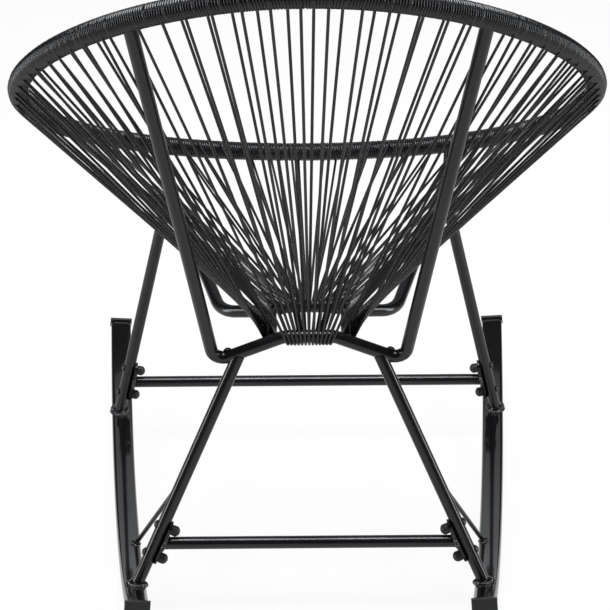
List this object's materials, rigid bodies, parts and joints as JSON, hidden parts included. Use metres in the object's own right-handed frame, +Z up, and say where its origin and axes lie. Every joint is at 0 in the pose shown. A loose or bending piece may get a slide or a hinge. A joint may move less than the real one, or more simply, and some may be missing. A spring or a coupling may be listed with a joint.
{
  "type": "rocking chair",
  "caption": "Rocking chair with an egg-shaped seat rim strung with radial black cord, carried by bent tube stays, splayed legs, crossbars and curved flat-tube rockers.",
  "frame": {"origin": "On the floor under the middle of the overall width and depth, with the rockers standing on the floor at rest.", "axes": "+Z is up and is the longest extent, the sitter faces -Y, and the sitter's left is +X, the shortest extent."},
  "size_m": [0.7408, 0.8073, 0.8649],
  "materials": {
    "seat_cord": "satin black extruded cord",
    "frame_enamel": "satin black powder coat",
    "rocker_enamel": "semi-gloss black powder coat",
    "black_hardware": "black coated steel fasteners",
    "black_plastic": "moulded black plastic",
    "plain_steel": "plain turned steel, hidden inside the leg tops"
  },
  "bodies": {
    "root": {"back_strands": "seat_cord", "crossbar_bolts": "black_hardware", "crossbar_nuts": "black_hardware", "crossbar_washers": "black_hardware", "frame_screws": "black_hardware", "front_crossbar": "frame_enamel", "front_strands": "seat_cord", "hub_bow": "frame_enamel", "left_front_crossbar_plate": "frame_enamel", "left_front_leg": "frame_enamel", "left_front_leg_plug": "plain_steel", "left_front_stay": "frame_enamel", "left_rear_crossbar_plate": "frame_enamel", "left_rear_leg": "frame_enamel", "left_rear_leg_brace": "frame_enamel", "left_rear_leg_plug": "plain_steel", "left_rocker": "rocker_enamel", "left_rocker_front_cap": "black_plastic", "left_rocker_rear_cap": "black_plastic", "left_side_strands": "seat_cord", "nut_covers": "black_plastic", "rear_crossbar": "frame_enamel", "rear_frame_tube": "frame_enamel", "right_front_crossbar_plate": "frame_enamel", "right_front_leg": "frame_enamel", "right_front_leg_plug": "plain_steel", "right_front_stay": "frame_enamel", "right_rear_crossbar_plate": "frame_enamel", "right_rear_leg": "frame_enamel", "right_rear_leg_brace": "frame_enamel", "right_rear_leg_plug": "plain_steel", "right_rocker": "rocker_enamel", "right_rocker_front_cap": "black_plastic", "right_rocker_rear_cap": "black_plastic", "right_side_strands": "seat_cord", "rim_cord_winding": "seat_cord", "rim_tube": "frame_enamel"}
  },
  "joints": []
}
